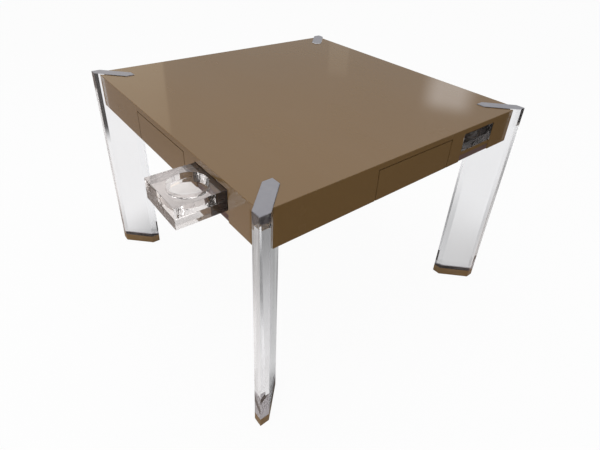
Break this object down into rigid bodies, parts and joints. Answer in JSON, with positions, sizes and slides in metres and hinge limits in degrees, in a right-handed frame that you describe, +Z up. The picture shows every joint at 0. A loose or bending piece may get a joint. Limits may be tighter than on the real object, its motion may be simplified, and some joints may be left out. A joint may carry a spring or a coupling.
{
  "type": "mahjong table",
  "caption": "Square lacquered games table on clear diagonal legs, with a flush drawer and a pull-out clear cup tray on each side.",
  "frame": {"origin": "on the floor, under the middle of the square top", "axes": "+Z up; the sides of the top lie along X and Y, the front side faces -Y, and at rest the cup tray of the left side is pulled out towards -X"},
  "size_m": [1.1986, 1.0812, 0.7623],
  "materials": {
    "lacquer": "taupe high-gloss lacquer on board",
    "clear_acrylic": "clear cast acrylic, polished",
    "hardwood": "clear-oiled hardwood",
    "plywood": "thin birch plywood, sealed",
    "stained_board": "dark-stained board",
    "bolt_steel": "zinc-plated",
    "felt": "pressed felt"
  },
  "bodies": {
    "table_frame": {"table_top": "lacquer", "apron_front_long": "lacquer", "apron_front_post": "lacquer", "apron_front_short": "lacquer", "apron_right_long": "lacquer", "apron_right_post": "lacquer", "apron_right_short": "lacquer", "apron_back_long": "lacquer", "apron_back_post": "lacquer", "apron_back_short": "lacquer", "apron_left_long": "lacquer", "apron_left_post": "lacquer", "apron_left_short": "lacquer", "leg_back_right": "clear_acrylic", "foot_cap_back_right": "lacquer", "corner_block_back_right": "hardwood", "leg_back_left": "clear_acrylic", "foot_cap_back_left": "lacquer", "corner_block_back_left": "hardwood", "leg_front_left": "clear_acrylic", "foot_cap_front_left": "lacquer", "corner_block_front_left": "hardwood", "leg_front_right": "clear_acrylic", "foot_cap_front_right": "lacquer", "corner_block_front_right": "hardwood", "tray_shelf_front": "lacquer", "tray_shelf_right": "lacquer", "tray_shelf_back": "lacquer", "tray_shelf_left": "lacquer", "floor_glides": "felt", "leg_bolts": "bolt_steel", "drawer_bay_walls": "stained_board", "bay_dividers": "stained_board", "tray_bay_walls": "stained_board", "shelf_bearers": "stained_board", "drawer_runners": "hardwood"},
    "drawer_front": {"drawer_front_face": "lacquer", "drawer_front_box": "hardwood", "drawer_front_bottom": "plywood"},
    "drawer_right": {"drawer_right_face": "lacquer", "drawer_right_box": "hardwood", "drawer_right_bottom": "plywood"},
    "drawer_back": {"drawer_back_face": "lacquer", "drawer_back_box": "hardwood", "drawer_back_bottom": "plywood"},
    "drawer_left": {"drawer_left_face": "lacquer", "drawer_left_box": "hardwood", "drawer_left_bottom": "plywood"},
    "tray_front": {"tray_front_cup_plate": "clear_acrylic", "tray_front_base_plate": "clear_acrylic", "tray_front_stop_pin": "bolt_steel"},
    "tray_right": {"tray_right_cup_plate": "clear_acrylic", "tray_right_base_plate": "clear_acrylic", "tray_right_stop_pin": "bolt_steel"},
    "tray_back": {"tray_back_cup_plate": "clear_acrylic", "tray_back_base_plate": "clear_acrylic", "tray_back_stop_pin": "bolt_steel"},
    "tray_left": {"tray_left_cup_plate": "clear_acrylic", "tray_left_base_plate": "clear_acrylic", "tray_left_stop_pin": "bolt_steel"}
  },
  "joints": [
    {"name": "drawer_front_slide", "type": "slide", "parent": "table_frame", "child": "drawer_front", "axis": [0, -1, 0], "range_m": [0, 0.25]},
    {"name": "drawer_right_slide", "type": "slide", "parent": "table_frame", "child": "drawer_right", "axis": [1, 0, 0], "range_m": [0, 0.25]},
    {"name": "drawer_back_slide", "type": "slide", "parent": "table_frame", "child": "drawer_back", "axis": [0, 1, 0], "range_m": [0, 0.25]},
    {"name": "drawer_left_slide", "type": "slide", "parent": "table_frame", "child": "drawer_left", "axis": [-1, 0, 0], "range_m": [0, 0.25]},
    {"name": "tray_front_slide", "type": "slide", "parent": "table_frame", "child": "tray_front", "axis": [0, -1, 0], "range_m": [0, 0.14]},
    {"name": "tray_right_slide", "type": "slide", "parent": "table_frame", "child": "tray_right", "axis": [1, 0, 0], "range_m": [0, 0.14]},
    {"name": "tray_back_slide", "type": "slide", "parent": "table_frame", "child": "tray_back", "axis": [0, 1, 0], "range_m": [0, 0.14]},
    {"name": "tray_left_slide", "type": "slide", "parent": "table_frame", "child": "tray_left", "axis": [-1, 0, 0], "range_m": [-0.133, 0.007]}
  ]
}
